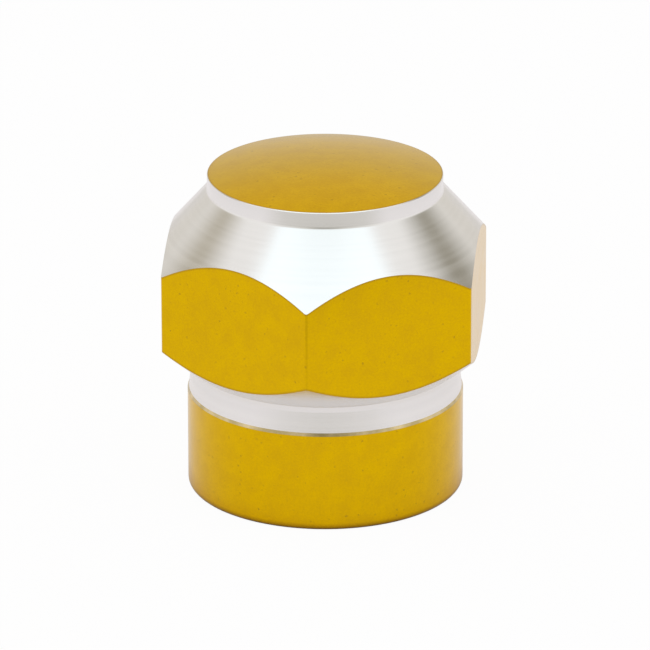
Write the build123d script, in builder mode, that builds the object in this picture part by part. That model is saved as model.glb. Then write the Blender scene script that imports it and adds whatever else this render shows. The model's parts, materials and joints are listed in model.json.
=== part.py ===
from build123d import *

import os
from math import cos, radians, tan

# Tyre valve cap, turned from hexagon bar and threaded inside, with a rubber washer at the end of its socket.
# It stands on its open rim. The origin is the centre of the rim and +Z runs up the cap's axis.
# Lengths are in millimetres and angles in degrees.

# Valve thread in the socket (32 turns to the inch)
thread_major_diameter = 7.75
thread_pitch = 25.4 / 32
thread_length = 6.2
mouth_margin = 0.15
runout_margin = 0.1
runout_length = 0.6

# Rubber washer that seals on the valve's rim
washer_thickness = 1.1
washer_hole_diameter = 4.0
washer_clearance = 0.05
washer_edge_radius = 0.2

# Drilled point above the washer, which clears the valve's pin
pin_pocket_diameter = 3.2
drill_point_angle = 118.0

# Round collar at the open end
collar_wall = 1.07
collar_height = 3.65
rim_radius = 0.2

# Groove between the collar and the hexagon
neck_height = 0.95
neck_taper = 6.0
underside_angle = 40.7

# Hexagon for fingers or a spanner
across_flats = 11.0
corner_radius = 0.15

# Crown: a cone that trims the hexagon's corners, a short upright band and a low dome
shoulder_angle = 48.6
crown_diameter = 8.39
crown_band_height = 0.56
crown_edge_height = 11.7
dome_rise = 0.48

# Radii and heights worked out from the sizes above
ISO_THREAD_DEPTH = 1.0825
minor_radius = (thread_major_diameter - ISO_THREAD_DEPTH * thread_pitch) / 2
mouth_radius = thread_major_diameter / 2 + mouth_margin
mouth_depth = mouth_radius - minor_radius
thread_end = mouth_depth + thread_length
runout_radius = thread_major_diameter / 2 + runout_margin
seat_height = thread_end + runout_length + washer_thickness
pin_pocket_radius = pin_pocket_diameter / 2
pin_pocket_tip = seat_height + pin_pocket_radius / tan(radians(drill_point_angle / 2))

collar_radius = thread_major_diameter / 2 + collar_wall
neck_top = collar_height + neck_height
neck_top_radius = collar_radius - neck_height * tan(radians(neck_taper))

bar_radius = across_flats / 2 / cos(radians(30))
underside_edge = neck_top + (bar_radius - neck_top_radius) * tan(radians(underside_angle))
crown_radius = crown_diameter / 2
band_foot = crown_edge_height - crown_band_height
shoulder_foot = band_foot - (bar_radius - crown_radius) * tan(radians(shoulder_angle))
overall_height = crown_edge_height + dome_rise

washer_radius = runout_radius - washer_clearance


with BuildPart() as cap_body:
    # Hexagon bar, with one corner towards -Y and its corners slightly rounded
    with BuildSketch():
        RegularPolygon(across_flats / 2, 6, major_radius=False, rotation=30)
        fillet(vertices(), corner_radius)
    extrude(amount=overall_height)

    # Outside turned from the bar: the cone and the underside trim the flats to curved edges
    with BuildSketch(Plane.XZ):
        with BuildLine():
            Polyline(
                (0, overall_height),
                (0, 0),
                (collar_radius, 0),
                (collar_radius, collar_height),
                (neck_top_radius, neck_top),
                (bar_radius, underside_edge),
                (bar_radius, shoulder_foot),
                (crown_radius, band_foot),
                (crown_radius, crown_edge_height),
            )
            TangentArc((0, overall_height), (crown_radius, crown_edge_height), tangent=(1, 0))
        make_face()
        rim_corner = vertices().group_by(Axis.Y)[0].sort_by(Axis.X)[-1]
        fillet(rim_corner, rim_radius)
    revolve(axis=Axis.Z, mode=Mode.INTERSECT)

    # Blind socket: lead-in, thread at its inner diameter, run-out groove, washer seat and drilled point
    with BuildSketch(Plane.XZ):
        with BuildLine():
            Polyline(
                (0, 0),
                (mouth_radius, 0),
                (minor_radius, mouth_depth),
                (minor_radius, thread_end),
                (runout_radius, thread_end),
                (runout_radius, seat_height),
                (pin_pocket_radius, seat_height),
                (0, pin_pocket_tip),
                close=True,
            )
        make_face()
    revolve(axis=Axis.Z, mode=Mode.SUBTRACT)

cap_body.part.label = "cap_body"


with BuildPart() as sealing_washer:
    # Flat ring pressed up against the seat, held behind the last turn of the thread
    with BuildSketch(Plane.XY.offset(seat_height - washer_thickness)):
        Circle(washer_radius)
        Circle(washer_hole_diameter / 2, mode=Mode.SUBTRACT)
    extrude(amount=washer_thickness)
    fillet(edges().group_by(Axis.Z)[0], washer_edge_radius)

sealing_washer.part.label = "sealing_washer"


os.makedirs("parts", exist_ok=True)
export_step(cap_body.part, "parts/cap_body.step")
export_step(sealing_washer.part, "parts/sealing_washer.step")
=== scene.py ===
import json
from math import asin, cos, hypot, pi, radians, sin, tan

import bmesh
import bpy
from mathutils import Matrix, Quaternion, Vector


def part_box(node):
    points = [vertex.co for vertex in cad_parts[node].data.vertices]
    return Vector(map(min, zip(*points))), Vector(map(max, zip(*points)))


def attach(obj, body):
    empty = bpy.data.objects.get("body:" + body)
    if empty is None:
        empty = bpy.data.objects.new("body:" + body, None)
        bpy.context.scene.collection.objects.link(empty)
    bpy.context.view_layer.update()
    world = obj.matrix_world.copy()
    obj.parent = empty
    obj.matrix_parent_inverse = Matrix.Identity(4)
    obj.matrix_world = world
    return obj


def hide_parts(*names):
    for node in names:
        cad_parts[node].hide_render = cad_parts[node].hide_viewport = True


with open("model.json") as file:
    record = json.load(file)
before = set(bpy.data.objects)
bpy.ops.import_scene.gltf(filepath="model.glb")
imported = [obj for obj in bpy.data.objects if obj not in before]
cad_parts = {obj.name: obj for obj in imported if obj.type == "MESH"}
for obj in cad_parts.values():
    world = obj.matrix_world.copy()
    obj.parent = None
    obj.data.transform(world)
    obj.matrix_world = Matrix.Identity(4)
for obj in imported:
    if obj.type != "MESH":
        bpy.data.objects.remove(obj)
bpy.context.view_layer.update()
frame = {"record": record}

# The pieces are modelled in millimetres, where Blender's own tolerances suit a part this small,
# and brought to metres when they are done.
MM = 0.001
cap_low, cap_high = (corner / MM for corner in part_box("cap_body"))
washer_low, washer_high = (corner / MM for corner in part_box("sealing_washer"))
thread_mount = next(mount for mount in frame["record"]["mounts"] if mount["name"] == "valve_thread")

# Sizes of the cap body, in millimetres and degrees
across_flats = cap_high.x - cap_low.x
overall_height = cap_high.z
corner_radius = 0.15
collar_radius = 4.945
collar_height = 3.65
rim_radius = 0.2
neck_height = 0.95
neck_taper = 6.0
underside_angle = 40.7
crown_radius = 4.195
crown_edge_height = 11.7
crown_band_height = 0.56
shoulder_angle = 48.6

# Sizes of the socket, with 32 turns of the thread to the inch
ISO_THREAD_DEPTH = 1.0825
thread_pitch = 25.4 / 32
minor_radius = thread_mount["dims"]["r_mm"]
thread_length = thread_mount["dims"]["length_mm"]
mouth_margin = 0.15
runout_margin = 0.1
pin_pocket_radius = 1.6
drill_point_angle = 118.0

# Sizes of the washer
washer_radius = washer_high.x
washer_hole_radius = 2.0
washer_edge_radius = 0.2

# Small forms at the neck: a ledge above the collar, then a flare and an undercut beneath the hexagon
neck_ledge = 0.05
neck_flare_height = 0.16
neck_flare_width = 0.04
neck_undercut = 0.06
undercut_inset = 0.15

# Widths of the broken edges and of the small fillets in the inner corners
edge_break = 0.055
crown_edge_break = 0.022
rim_edge_break = 0.06
inner_fillet = 0.06
neck_fillet = 0.06

# Places in the socket, worked out from the sizes above
major_radius = minor_radius + ISO_THREAD_DEPTH * thread_pitch / 2
mouth_radius = major_radius + mouth_margin
mouth_depth = mouth_radius - minor_radius
thread_end = mouth_depth + thread_length
runout_radius = major_radius + runout_margin
seat_height = washer_high.z
pin_pocket_tip = seat_height + pin_pocket_radius / tan(radians(drill_point_angle / 2))

# Places on the outside. The blank stands a little proud of the hexagon's corners.
blank_margin = 0.1
half_side = radians(30)
neck_slope = tan(radians(neck_taper))
underside_slope = tan(radians(underside_angle))
shoulder_slope = tan(radians(shoulder_angle))
blank_radius = across_flats / 2 / cos(half_side) + blank_margin
neck_top = collar_height + neck_height
neck_top_radius = collar_radius - neck_height * neck_slope
neck_cut_top = neck_top + neck_undercut
flare_foot = neck_cut_top - neck_flare_height
flare_radius = collar_radius - neck_ledge - (flare_foot - collar_height - edge_break) * neck_slope
undercut_radius = across_flats / 2 - undercut_inset
undercut_edge = neck_top + (undercut_radius - neck_top_radius) * underside_slope
underside_edge = neck_top + (blank_radius - neck_top_radius) * underside_slope
band_foot = crown_edge_height - crown_band_height
shoulder_foot = band_foot - (blank_radius - crown_radius) * shoulder_slope
dome_rise = overall_height - crown_edge_height
dome_radius = (crown_radius**2 + dome_rise**2) / (2 * dome_rise)

# Steps of the round forms. The thread has the lathe's steps, so that their facets meet.
LATHE_STEPS = 288
THREAD_STEPS = LATHE_STEPS
DOME_STEPS = 24

# Vertices closer together than this are merged, and a flat's cut is ten times finer
MERGE = 1e-4
CUT_MERGE = MERGE / 10


# Modelling steps

def select_nothing():
    """Leaves edit mode and deselects every object, the loaded frame's among them."""
    if bpy.context.object and bpy.context.object.mode != "OBJECT":
        bpy.ops.object.mode_set(mode="OBJECT")
    bpy.ops.object.select_all(action="DESELECT")


def edit(piece):
    """Makes the piece the only selected and active object and opens it in edit mode."""
    select_nothing()
    piece.select_set(True)
    bpy.context.view_layer.objects.active = piece
    bpy.ops.object.mode_set(mode="EDIT")


def pick(piece, kind, wanted):
    """Selects the verts, edges or faces of the piece in edit mode that wanted accepts, and no others."""
    bpy.ops.mesh.select_mode(type={"verts": "VERT", "edges": "EDGE", "faces": "FACE"}[kind])
    bpy.ops.mesh.select_all(action="DESELECT")
    mesh = bmesh.from_edit_mesh(piece.data)
    for item in getattr(mesh, kind):
        item.select_set(wanted(item))
    mesh.select_flush_mode()
    bmesh.update_edit_mesh(piece.data)


def draw_outline(name, points):
    """Starts a piece as a wire in the XZ plane, one vertex extruded through (radius, height) points."""
    select_nothing()
    bpy.ops.mesh.primitive_plane_add(size=1)
    piece = bpy.context.object
    piece.name = piece.data.name = name
    edit(piece)
    bpy.ops.mesh.select_all(action="SELECT")
    bpy.ops.mesh.merge(type="CENTER")
    radius, height = points[0]
    bpy.ops.transform.translate(value=(radius, 0, height))
    for next_radius, next_height in points[1:]:
        step = (next_radius - radius, 0, next_height - height)
        bpy.ops.mesh.extrude_vertices_move(TRANSFORM_OT_translate={"value": step})
        radius, height = next_radius, next_height
    return piece


def at_point(radius, height):
    """A test for the wire's vertex at that radius and height."""
    return lambda vert: abs(vert.co.x - radius) < MERGE and abs(vert.co.z - height) < MERGE


def round_corner(piece, radius, height, width, segments=4):
    """Rounds the wire's corner at that place, or breaks it where there is one segment."""
    pick(piece, "verts", at_point(radius, height))
    bpy.ops.mesh.bevel(offset_type="OFFSET", offset=width, segments=segments, affect="VERTICES")


def merge_doubles():
    """Merges the vertices of the piece in edit mode that lie on one another, and leaves all selected."""
    bpy.ops.mesh.select_all(action="SELECT")
    bpy.ops.mesh.remove_doubles(threshold=MERGE)


def close_skin():
    """Merges the skin's seams and poles and faces it outwards."""
    merge_doubles()
    bpy.ops.mesh.normals_make_consistent(inside=False)


def turn_on_lathe():
    """Spins the wire in edit mode round the Z axis into a closed skin that faces outwards."""
    bpy.ops.mesh.select_all(action="SELECT")
    bpy.ops.mesh.spin(steps=LATHE_STEPS, angle=2 * pi, center=(0, 0, 0), axis=(0, 0, 1))
    close_skin()


def apply_modifier(piece, kind, **settings):
    """Adds a modifier to the active piece, sets it and applies it."""
    bpy.ops.object.modifier_add(type=kind)
    modifier = piece.modifiers[-1]
    for key, value in settings.items():
        setattr(modifier, key, value)
    bpy.ops.object.modifier_apply(modifier=modifier.name)


def to_metres(piece):
    """Scales the piece's mesh from millimetres to metres."""
    edit(piece)
    bpy.ops.mesh.select_all(action="SELECT")
    bpy.ops.transform.resize(value=(MM, MM, MM), center_override=(0, 0, 0))
    bpy.ops.object.mode_set(mode="OBJECT")


def shade(piece, smooth_angle):
    """Smooth over the rounds, with the broad faces kept flat."""
    bpy.ops.object.shade_smooth_by_angle(angle=radians(smooth_angle))
    apply_modifier(piece, "WEIGHTED_NORMAL", mode="FACE_AREA", weight=80, keep_sharp=True)


# Shader nodes

def feed(tree, socket, value):
    """Gives an input a value, or links another node's output to it."""
    if isinstance(value, bpy.types.NodeSocket):
        tree.links.new(value, socket)
    else:
        socket.default_value = value


def add(tree, kind, options=None, **inputs):
    """Adds a shader node, sets its options, and gives each named input a value or another node's output."""
    node = tree.nodes.new("ShaderNode" + kind)
    for key, value in (options or {}).items():
        setattr(node, key, value)
    for name, value in inputs.items():
        feed(tree, node.inputs[name.replace("_", " ")], value)
    return node


def maths(tree, operation, *values):
    """A sum of numbers, as the output of its node."""
    node = add(tree, "Math", {"operation": operation})
    for socket, value in zip(node.inputs, values):
        feed(tree, socket, value)
    return node.outputs["Value"]


def vector_maths(tree, operation, *values):
    """A sum of vectors, as its node's Vector and Value outputs."""
    node = add(tree, "VectorMath", {"operation": operation})
    for socket, value in zip(node.inputs, values):
        feed(tree, socket, value)
    return node.outputs


def spread(tree, value, low, high, to_low=0.0, to_high=1.0):
    """Maps low..high to to_low..to_high, clamped."""
    node = add(tree, "MapRange", From_Min=low, From_Max=high, To_Min=to_low, To_Max=to_high)
    feed(tree, node.inputs["Value"], value)
    return node.outputs["Result"]


def tint(tree, mask, colour, marked):
    """A colour that turns to another where the mask is 1."""
    node = add(tree, "Mix", {"data_type": "RGBA"}, Factor=mask)
    plain, changed = (socket for socket in node.inputs if socket.type == "RGBA")
    feed(tree, plain, colour)
    feed(tree, changed, marked)
    return next(socket for socket in node.outputs if socket.type == "RGBA")


def mix_shaders(tree, share, first, second):
    """A shader that turns to another where the share is 1."""
    node = add(tree, "MixShader", Fac=share)
    for socket, shader in zip(node.inputs[1:], (first, second)):
        tree.links.new(shader, socket)
    return node.outputs["Shader"]


def new_group(name, inputs, outputs):
    """An empty shader group with float sockets. Returns it with its input and output nodes."""
    tree = bpy.data.node_groups.new(name, "ShaderNodeTree")
    for label, value in inputs.items():
        tree.interface.new_socket(label, in_out="INPUT", socket_type="NodeSocketFloat").default_value = value
    for label in outputs:
        tree.interface.new_socket(label, in_out="OUTPUT", socket_type="NodeSocketFloat")
    return tree, tree.nodes.new("NodeGroupInput"), tree.nodes.new("NodeGroupOutput")


def make_turning_marks():
    """Fine rings round the Z axis: a height for bump and a broader streak mask."""
    tree, given, result = new_group("turning marks", {"Rings per mm": 18.0}, ["Height", "Streak"])
    rings_per_streak = 5.0
    place = add(tree, "TexCoord").outputs["Object"]
    axes = add(tree, "SeparateXYZ", Vector=place).outputs
    across = add(tree, "CombineXYZ", X=axes["X"], Y=axes["Y"])
    radius = vector_maths(tree, "LENGTH", across.outputs["Vector"])["Value"]
    section = add(tree, "CombineXYZ", X=radius, Y=axes["Z"]).outputs["Vector"]
    rings = maths(tree, "MULTIPLY", given.outputs["Rings per mm"], 1 / MM)
    streaks = maths(tree, "DIVIDE", rings, rings_per_streak)
    for label, scale, detail in (("Height", rings, 2.0), ("Streak", streaks, 1.0)):
        noise = add(
            tree, "TexNoise", {"noise_dimensions": "2D"}, Vector=section, Scale=scale, Detail=detail
        )
        tree.links.new(noise.outputs["Fac"], result.inputs[label])
    return tree


def make_surface_grain():
    """Even grain: a height for bump, a slow mottle, and ragged specks that crowd where the mottle is high."""
    tree, given, result = new_group(
        "surface grain", {"Grains per mm": 14.0, "Speck share": 0.05}, ["Height", "Mottle", "Specks"]
    )
    grains_per_mottle = 9.0
    grains_per_speck = 3.0
    raggedness = 0.12 * MM
    crowded_mottle = (0.4, 0.65)
    fewest_specks = 0.1
    speck_least = 0.08
    speck_range = 0.25
    place = add(tree, "TexCoord").outputs["Object"]
    grains = maths(tree, "MULTIPLY", given.outputs["Grains per mm"], 1 / MM)
    mottles = maths(tree, "DIVIDE", grains, grains_per_mottle)
    specks = maths(tree, "DIVIDE", grains, grains_per_speck)
    fine = add(tree, "TexNoise", Vector=place, Detail=3.0, Scale=grains).outputs
    slow = add(tree, "TexNoise", Vector=place, Detail=4.0, Scale=mottles).outputs
    ragged = vector_maths(tree, "MULTIPLY_ADD", fine["Color"], (raggedness, raggedness, raggedness), place)
    cells = add(tree, "TexVoronoi", Vector=ragged["Vector"], Scale=specks).outputs
    draw = add(tree, "SeparateColor", Color=cells["Color"]).outputs
    crowding = spread(tree, slow["Fac"], *crowded_mottle, to_low=fewest_specks)
    share = maths(tree, "MULTIPLY", crowding, given.outputs["Speck share"])
    chosen = maths(tree, "MULTIPLY", maths(tree, "LESS_THAN", draw["Red"], share), draw["Blue"])
    size = maths(tree, "MULTIPLY_ADD", draw["Green"], speck_range, speck_least)
    dot = spread(tree, cells["Distance"], 0.0, size, 1.0, 0.0)
    tree.links.new(fine["Fac"], result.inputs["Height"])
    tree.links.new(slow["Fac"], result.inputs["Mottle"])
    tree.links.new(maths(tree, "MULTIPLY", chosen, dot), result.inputs["Specks"])
    return tree


def make_film_edges():
    """Masks for painted shade at the dyed film's edges: its borders with bare metal, and the round of the
    open rim.
    """
    tree, given, result = new_group(
        "film edges", {"Border width": 0.1, "Rim width": 0.3}, ["Border", "Rim"]
    )
    far_off = 10.0
    shoulder_apex = band_foot + crown_radius * shoulder_slope
    underside_apex = neck_top - neck_top_radius * underside_slope
    place = add(tree, "VectorMath", {"operation": "SCALE"}, Scale=1 / MM)
    feed(tree, place.inputs[0], add(tree, "TexCoord").outputs["Object"])
    axes = add(tree, "SeparateXYZ", Vector=place.outputs["Vector"]).outputs
    height = axes["Z"]
    across = maths(tree, "MULTIPLY_ADD", axes["Y"], axes["Y"], maths(tree, "POWER", axes["X"], 2.0))
    radius = maths(tree, "SQRT", across)

    # How far inside each border a place is, put far off where it isn't on that film at all
    shoulder = maths(tree, "MULTIPLY_ADD", radius, -shoulder_slope, shoulder_apex)
    underside = maths(tree, "MULTIPLY_ADD", radius, underside_slope, underside_apex)
    under_shoulder = maths(tree, "SUBTRACT", shoulder, height)
    over_underside = maths(tree, "SUBTRACT", height, underside)
    hexagon_gap = maths(tree, "MINIMUM", under_shoulder, over_underside)
    collar_gap = maths(tree, "SUBTRACT", collar_height, height)
    crown_gap = maths(tree, "SUBTRACT", crown_radius, radius)
    off_hexagon = maths(tree, "LESS_THAN", radius, across_flats / 2 - edge_break)
    off_collar = maths(tree, "GREATER_THAN", height, collar_height)
    off_crown = maths(tree, "LESS_THAN", height, band_foot)
    hexagon_gap = maths(tree, "MULTIPLY_ADD", off_hexagon, far_off, hexagon_gap)
    collar_gap = maths(tree, "MULTIPLY_ADD", off_collar, far_off, collar_gap)
    crown_gap = maths(tree, "MULTIPLY_ADD", off_crown, far_off, crown_gap)
    border_gap = maths(tree, "MINIMUM", maths(tree, "MINIMUM", hexagon_gap, collar_gap), crown_gap)
    border = spread(tree, border_gap, 0.0, given.outputs["Border width"], 1.0, 0.0)

    # The open rim's outer round: the mask for painted shade there, standing in for the floor's shadow that
    # the round reflects
    low = spread(tree, height, 0.0, given.outputs["Rim width"], 1.0, 0.0)
    outside = maths(tree, "GREATER_THAN", radius, collar_radius - rim_radius)
    tree.links.new(border, result.inputs["Border"])
    tree.links.new(maths(tree, "MULTIPLY", low, outside), result.inputs["Rim"])
    return tree


turning_marks = make_turning_marks()
surface_grain = make_surface_grain()
film_edges = make_film_edges()


# Finishes

# Most of a noise lies between these two
NOISE_LOW = 0.3
NOISE_HIGH = 0.7


def new_finish(name):
    """A material with one Principled BSDF. Returns the material, its node tree and that node."""
    material = bpy.data.materials.new(name)
    material.use_nodes = True
    tree = material.node_tree
    return material, tree, tree.nodes["Principled BSDF"]


def place_group(tree, group, **inputs):
    """Places a node group with its own values and returns its outputs."""
    return add(tree, "Group", {"node_tree": group}, **inputs).outputs


def bump(tree, shader, height, depth):
    """Feeds the shader's normal from a height, depth millimetres from its lowest to its highest."""
    node = add(tree, "Bump", Strength=1.0, Distance=depth * MM, Height=height)
    tree.links.new(node.outputs["Normal"], shader.inputs["Normal"])


def roughen(tree, shader, noise, least, most):
    """Feeds the shader's roughness from a noise."""
    feed(tree, shader.inputs["Roughness"], spread(tree, noise, NOISE_LOW, NOISE_HIGH, least, most))


def yellow_anodising():
    """Satin dyed film, darker in specks, with painted shade along its borders and round the open rim."""
    dye_deep = (0.72, 0.44, 0.005, 1)
    dye_bright = (0.80, 0.507, 0.002, 1)
    mottle_range = (0.75, 1.25)
    speck_brown = (0.32, 0.18, 0.02, 1)
    speck_strength = 0.85
    # Painted shade: dark lines along the film's borders with bare metal
    border_painted_shade = (0.46, 0.27, 0.015, 1)
    border_strength = 0.9
    # Painted shade round the open rim, standing in for the shadowed floor under the cap that its round
    # reflects
    rim_painted_shade = (0.22, 0.10, 0.01, 1)
    material, tree, shader = new_finish("yellow anodising")
    shader.inputs["Metallic"].default_value = 1.0
    grain = place_group(tree, surface_grain, Grains_per_mm=14.0, Speck_share=0.95)
    edges = place_group(tree, film_edges, Border_width=0.09, Rim_width=0.28)
    mottle = spread(tree, maths(tree, "ADD", grain["Mottle"], grain["Height"]), *mottle_range)
    specks = maths(tree, "MULTIPLY", grain["Specks"], speck_strength)
    borders = maths(tree, "MULTIPLY", edges["Border"], border_strength)
    dyed = tint(tree, mottle, dye_deep, dye_bright)
    specked = tint(tree, specks, dyed, speck_brown)
    lined = tint(tree, borders, specked, border_painted_shade)
    feed(tree, shader.inputs["Base Color"], tint(tree, edges["Rim"], lined, rim_painted_shade))
    roughen(tree, shader, grain["Mottle"], least=0.12, most=0.17)
    bump(tree, shader, grain["Height"], depth=0.001)
    return material


def bare_turned():
    """Bare metal with fine rings, whose gleam is drawn out across them."""
    cut_dull = (0.85, 0.845, 0.835, 1)
    cut_bright = (0.89, 0.885, 0.875, 1)
    material, tree, shader = new_finish("bare turned aluminium")
    shader.inputs["Metallic"].default_value = 1.0
    shader.inputs["Anisotropic"].default_value = 0.7
    shader.inputs["Anisotropic Rotation"].default_value = 0.25
    marks = place_group(tree, turning_marks, Rings_per_mm=18.0)
    streak = spread(tree, marks["Streak"], NOISE_LOW, NOISE_HIGH)
    feed(tree, shader.inputs["Base Color"], tint(tree, streak, cut_dull, cut_bright))
    roughen(tree, shader, marks["Streak"], least=0.17, most=0.23)
    bump(tree, shader, marks["Height"], depth=0.00055)
    round_axis = add(tree, "Tangent", {"direction_type": "RADIAL", "axis": "Z"})
    tree.links.new(round_axis.outputs["Tangent"], shader.inputs["Tangent"])
    return material


def film_edge():
    """A painted shade line round the top of the collar, where the dyed film ends, in darker and paler
    patches.
    """
    # Painted shade: the colours of the dark line at the top of the collar
    shade_line_dark = (0.54, 0.44, 0.22, 1)
    shade_line_pale = (0.78, 0.64, 0.37, 1)
    patch_range = (0.38, 0.62)
    material, tree, shader = new_finish("film edge")
    shader.inputs["Metallic"].default_value = 1.0
    grain = place_group(tree, surface_grain, Grains_per_mm=14.0, Speck_share=0.2)
    patches = spread(tree, grain["Mottle"], *patch_range)
    feed(tree, shader.inputs["Base Color"], tint(tree, patches, shade_line_dark, shade_line_pale))
    roughen(tree, shader, grain["Mottle"], least=0.2, most=0.28)
    return material


def washer_rubber():
    """Matte black rubber with a little dust."""
    rubber_dark = (0.012, 0.012, 0.013, 1)
    rubber_pale = (0.030, 0.029, 0.028, 1)
    dust_grey = (0.10, 0.10, 0.09, 1)
    dust_strength = 0.3
    material, tree, shader = new_finish("washer rubber")
    grain = place_group(tree, surface_grain, Grains_per_mm=9.0, Speck_share=0.1)
    dust = maths(tree, "MULTIPLY", grain["Specks"], dust_strength)
    rubber = tint(tree, grain["Mottle"], rubber_dark, rubber_pale)
    feed(tree, shader.inputs["Base Color"], tint(tree, dust, rubber, dust_grey))
    roughen(tree, shader, grain["Mottle"], least=0.65, most=0.85)
    bump(tree, shader, grain["Height"], depth=0.01)
    return material


# Cap body

def turned_blank():
    """The whole turned form, socket and all, before the flats."""
    piece = draw_outline(
        "cap_body_finish",
        [
            (0, pin_pocket_tip),
            (pin_pocket_radius, seat_height),
            (runout_radius, seat_height),
            (runout_radius, thread_end),
            (minor_radius, thread_end),
            (minor_radius, mouth_depth),
            (mouth_radius, 0),
            (collar_radius, 0),
            (collar_radius, collar_height - edge_break),
            (collar_radius - neck_ledge, collar_height + edge_break),
            (flare_radius, flare_foot),
            (flare_radius + neck_flare_width, neck_cut_top),
            (undercut_radius, undercut_edge),
            (blank_radius, underside_edge),
            (blank_radius, shoulder_foot),
            (crown_radius, band_foot),
            (crown_radius, crown_edge_height),
        ],
    )
    pick(piece, "verts", at_point(crown_radius, crown_edge_height))
    dome_centre = (0, 0, overall_height - dome_radius)
    dome_angle = asin(crown_radius / dome_radius)
    bpy.ops.mesh.spin(steps=DOME_STEPS, angle=dome_angle, center=dome_centre, axis=(0, 1, 0))
    merge_doubles()
    round_corner(piece, collar_radius, 0, rim_radius, segments=8)
    round_corner(piece, mouth_radius, 0, rim_edge_break)
    round_corner(piece, flare_radius, flare_foot, neck_fillet)
    round_corner(piece, crown_radius, band_foot, inner_fillet)
    round_corner(piece, crown_radius, crown_edge_height, crown_edge_break, segments=1)
    turn_on_lathe()
    return piece


def cut_flats():
    """Slices the six flats off the blank in edit mode, then the small facets that round its corners."""
    side_angle = 60
    corner_facets = (-20, -10, 0, 10, 20)
    corner_centre = (across_flats / 2 - corner_radius) / cos(half_side)
    cuts = [(side_angle * flat, across_flats / 2) for flat in range(6)]
    for corner in range(6):
        for turn in corner_facets:
            distance = corner_centre * cos(radians(turn)) + corner_radius
            cuts.append((side_angle * (corner + 0.5) + turn, distance))
    for angle, distance in cuts:
        normal = Vector((cos(radians(angle)), sin(radians(angle)), 0))
        bpy.ops.mesh.select_all(action="SELECT")
        bpy.ops.mesh.bisect(
            plane_co=normal * distance, plane_no=normal, use_fill=True, clear_outer=True, threshold=CUT_MERGE
        )
    close_skin()


def thread_cutter():
    """A helix with the thread's section: a flat at the root and flanks 60 degrees apart.
    It reaches a little into the open hole, and past both ends of the thread."""
    hole_overlap = 0.12
    half_flank_angle = radians(30)
    turns = 9
    start = -thread_pitch / 2
    inner_radius = minor_radius - hole_overlap
    half_root = thread_pitch / 16
    flank = (major_radius - inner_radius) * tan(half_flank_angle)
    section = [
        (inner_radius, start - half_root - flank),
        (major_radius, start - half_root),
        (major_radius, start + half_root),
        (inner_radius, start + half_root + flank),
    ]
    cutter = draw_outline("thread_cutter", section + section[:1])
    merge_doubles()
    bpy.ops.object.mode_set(mode="OBJECT")
    apply_modifier(
        cutter,
        "SCREW",
        axis="Z",
        angle=2 * pi,
        screw_offset=thread_pitch,
        iterations=turns,
        steps=THREAD_STEPS,
        render_steps=THREAD_STEPS,
    )
    edit(cutter)
    bpy.ops.mesh.select_all(action="SELECT")
    bpy.ops.mesh.fill_holes(sides=len(section))
    close_skin()
    bpy.ops.object.mode_set(mode="OBJECT")
    return cutter


def cut_thread(piece):
    """Cuts the thread's turns out of the socket's wall and clears the slivers that the cut leaves."""
    cutter = thread_cutter()
    edit(piece)
    bpy.ops.object.mode_set(mode="OBJECT")
    apply_modifier(piece, "BOOLEAN", operation="DIFFERENCE", object=cutter, solver="EXACT")
    bpy.data.meshes.remove(cutter.data)
    edit(piece)
    bpy.ops.mesh.select_all(action="SELECT")
    bpy.ops.mesh.dissolve_degenerate(threshold=MERGE)
    close_skin()
    bpy.ops.object.mode_set(mode="OBJECT")


def finish_at(radius, height, slope):
    """The finish of the cap's skin at a place, where slope is how far it faces up or down."""
    flat_slope = 0.1
    dome_slope = 0.7
    if radius < mouth_radius and height < band_foot:
        return "yellow"
    # The faces at the top of the collar take the painted shade line
    if abs(height - collar_height) < edge_break:
        return "film edge"
    if collar_height < height < neck_cut_top and radius < across_flats / 2:
        return "bare"
    if neck_top < height < band_foot + inner_fillet and abs(slope) > flat_slope:
        return "bare"
    if band_foot < height < crown_edge_height and slope < dome_slope:
        return "bare"
    return "yellow"


def dress_cap_body(piece):
    """Gives each face of the cap its finish."""
    finishes = {"yellow": yellow_anodising(), "bare": bare_turned(), "film edge": film_edge()}
    for material in finishes.values():
        piece.data.materials.append(material)
    order = list(finishes)
    for face in piece.data.polygons:
        x, y, z = face.center
        face.material_index = order.index(finish_at(hypot(x, y), z, face.normal.z))


def make_cap_body():
    """The cap from its turned blank to its finishes."""
    piece = turned_blank()
    cut_flats()
    cut_thread(piece)
    dress_cap_body(piece)
    to_metres(piece)
    shade(piece, smooth_angle=15)
    return piece


cap_body = make_cap_body()
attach(cap_body, "root")
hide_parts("cap_body")


# Sealing washer

def make_washer():
    """A moulded ring, rounded where it faces the valve."""
    piece = draw_outline(
        "sealing_washer_finish",
        [
            (washer_hole_radius, washer_high.z),
            (washer_hole_radius, washer_low.z),
            (washer_radius, washer_low.z),
            (washer_radius, washer_high.z),
            (washer_hole_radius, washer_high.z),
        ],
    )
    merge_doubles()
    round_corner(piece, washer_hole_radius, washer_low.z, washer_edge_radius, segments=5)
    round_corner(piece, washer_radius, washer_low.z, washer_edge_radius, segments=5)
    turn_on_lathe()
    to_metres(piece)
    shade(piece, smooth_angle=35)
    piece.data.materials.append(washer_rubber())
    return piece


washer = make_washer()
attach(washer, "root")
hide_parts("sealing_washer")


# Camera, with its lens and sensor in millimetres and its reach in metres

camera_distance = 240.0 * MM
camera_azimuth = radians(6.05)
camera_elevation = radians(20.99)
camera_roll = radians(-0.08)
camera_aim = Vector((-0.011, 0, 5.917)) * MM
camera_sensor = 36
camera_lens = 371.4
camera_nearest = 0.01
camera_furthest = 10

up = Vector((0, 0, 1))
front = Vector((sin(camera_azimuth), -cos(camera_azimuth), 0))
right = Vector((cos(camera_azimuth), sin(camera_azimuth), 0))
to_camera = front * cos(camera_elevation) + up * sin(camera_elevation)

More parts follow.
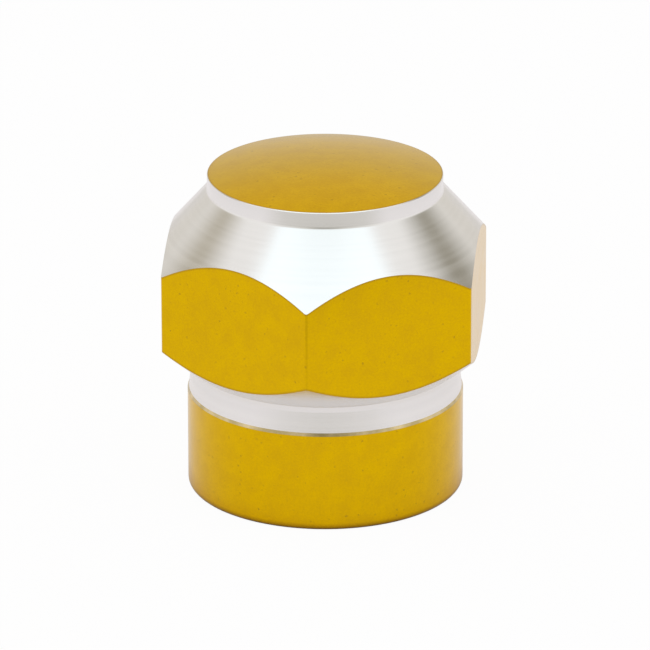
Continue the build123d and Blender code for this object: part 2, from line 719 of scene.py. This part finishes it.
bpy.ops.object.camera_add(location=camera_aim + to_camera * camera_distance)
camera = bpy.context.object
camera_turn = (-to_camera).to_track_quat("-Z", "Y") @ Quaternion((0, 0, 1), camera_roll)
camera.rotation_euler = camera_turn.to_euler()
camera.data.sensor_width = camera_sensor
camera.data.lens = camera_lens
camera.data.clip_start = camera_nearest
camera.data.clip_end = camera_furthest
bpy.context.scene.camera = camera
bpy.context.scene.view_settings.view_transform = "Standard"


# Floor

floor_size = 3
floor_gap = 0.01 * MM
floor_white = (0.925, 0.875, 0.915, 1)
# Painted shade on the paper: dimmer ahead of the cap and behind it, and dimmer still further ahead, seen
# mostly in the cap's reflections
floor_painted_shade = (0.66, 0.625, 0.59, 1)
floor_far_painted_shade = (0.43, 0.405, 0.365, 1)

# Where the painted shade on the paper comes in, from start to end: millimetres towards the camera from the
# cap's axis, and degrees round from the camera's side
dim_ahead = (20, 26)
far_ahead = (44, 52)
dim_behind = (-50, -90)
front_sector = (62, 38)
rear_sector = (145, 160)

# Shares of plain white that the camera sees and that reflections show, which start outside the collar
camera_white = 0.96
mirror_white = 0.3
mirror_start = collar_radius * MM
mirror_full = 1.2 * collar_radius * MM


def floor_paper():
    """White paper that takes the cap's shadow, with painted shade that makes it dimmer well in front of the
    cap and far behind it.
    It is clear from below and has a hole under the cap, so that the socket can be seen and is lit."""
    material, tree, shader = new_finish("floor paper")
    place = add(tree, "TexCoord").outputs["Object"]
    straight = vector_maths(tree, "NORMALIZE", place)["Vector"]
    distance = vector_maths(tree, "LENGTH", place)["Value"]
    ahead = vector_maths(tree, "DOT_PRODUCT", place, front)["Value"]
    facing = vector_maths(tree, "DOT_PRODUCT", straight, front)["Value"]

    def zone(reach, sector):
        """A mask that is 1 past the reach and inside the sector."""
        reached = spread(tree, ahead, reach[0] * MM, reach[1] * MM)
        inside = spread(tree, facing, cos(radians(sector[0])), cos(radians(sector[1])))
        return maths(tree, "MULTIPLY", reached, inside)

    # Painted shade on the paper, in front of the cap and behind it
    dim = maths(tree, "MAXIMUM", zone(dim_ahead, front_sector), zone(dim_behind, rear_sector))
    paper = tint(tree, dim, floor_white, floor_painted_shade)
    shaded_paper = tint(tree, zone(far_ahead, front_sector), paper, floor_far_painted_shade)
    feed(tree, shader.inputs["Base Color"], shaded_paper)
    shader.inputs["Roughness"].default_value = 1.0
    shader.inputs["Specular IOR Level"].default_value = 0.0

    ray = add(tree, "LightPath").outputs
    mirror = spread(tree, distance, mirror_start, mirror_full, to_high=mirror_white)
    mirrored = maths(tree, "MULTIPLY", ray["Is Glossy Ray"], mirror)
    whitened = maths(tree, "MULTIPLY_ADD", ray["Is Camera Ray"], camera_white, mirrored)
    white = add(tree, "Emission", Strength=1.0).outputs["Emission"]
    lit = mix_shaders(tree, whitened, shader.outputs["BSDF"], white)

    hole = maths(tree, "LESS_THAN", distance, (collar_radius - rim_radius) * MM)
    from_below = add(tree, "NewGeometry").outputs["Backfacing"]
    clear = add(tree, "BsdfTransparent").outputs["BSDF"]
    opened = mix_shaders(tree, maths(tree, "MAXIMUM", hole, from_below), lit, clear)
    tree.links.new(opened, tree.nodes["Material Output"].inputs["Surface"])
    return material


select_nothing()
bpy.ops.mesh.primitive_plane_add(size=floor_size, location=(0, 0, -floor_gap))
floor = bpy.context.object
floor.name = "floor"
floor.data.materials.append(floor_paper())


# Light

# The tent and its soft panels: degrees round from the camera's side, degrees up, half angle, blur and colour
plain_white = (1, 1, 1, 1)
tent_white = (0.91, 0.89, 0.87, 1)
tent_panels = {
    "rear wall": (180, 20, 52, 14, (0.725, 0.69, 0.635, 1)),
    "left gap": (-116, 29, 13.5, 9.5, (0.50, 0.455, 0.37, 1)),
    "right gap": (113.5, 30, 14.5, 11, (0.31, 0.285, 0.225, 1)),
    "camera side": (0, 12, 36, 22, (0.60, 0.575, 0.52, 1)),
    "lens": (0, 21, 13, 6, (0.36, 0.35, 0.32, 1)),
    "warm rear card": (180, 46, 19, 6, (0.78, 0.71, 0.50, 1)),
    "roof": (0, 90, 20, 5, (1.0, 1.0, 1.0, 1)),
}


def direction(azimuth, elevation):
    """The direction from the cap to a place in the tent."""
    level = front * cos(radians(azimuth)) + right * sin(radians(azimuth))
    return level * cos(radians(elevation)) + up * sin(radians(elevation))


def light_tent():
    """White for the camera, and a tent of soft pale panels for the light and the reflections."""
    world = bpy.data.worlds.new("light tent")
    world.use_nodes = True
    tree = world.node_tree
    towards = add(tree, "TexCoord").outputs["Generated"]
    colour = tent_white
    for azimuth, elevation, half_angle, blur, panel_colour in tent_panels.values():
        along = vector_maths(tree, "DOT_PRODUCT", towards, direction(azimuth, elevation))["Value"]
        off = maths(tree, "ARCCOSINE", along)
        inside = spread(tree, off, radians(half_angle - blur), radians(half_angle + blur), 1.0, 0.0)
        colour = tint(tree, inside, colour, panel_colour)
    seen = add(tree, "LightPath").outputs["Is Camera Ray"]
    feed(tree, tree.nodes["Background"].inputs["Color"], tint(tree, seen, colour, plain_white))
    bpy.context.scene.world = world


def softbox(name, place, width, depth, radiance, colour):
    """A flat lamp overhead that looks as bright as radiance in a mirror."""
    bpy.ops.object.light_add(type="AREA", location=place)
    lamp = bpy.context.object
    lamp.name = name
    lamp.data.shape = "RECTANGLE"
    lamp.data.size = width
    lamp.data.size_y = depth
    lamp.data.color = colour
    lamp.data.energy = radiance * pi * width * depth
    lamp.rotation_euler = (0, 0, camera_azimuth)


# Place of the softbox from the cap, in metres
softbox_ahead = 0.11
softbox_left = 0.005
softbox_height = 0.22

light_tent()
softbox(
    "overhead softbox",
    place=front * softbox_ahead - right * softbox_left + up * softbox_height,
    width=0.304,
    depth=0.2,
    radiance=0.41,
    colour=(0.62, 0.865, 1.0),
)
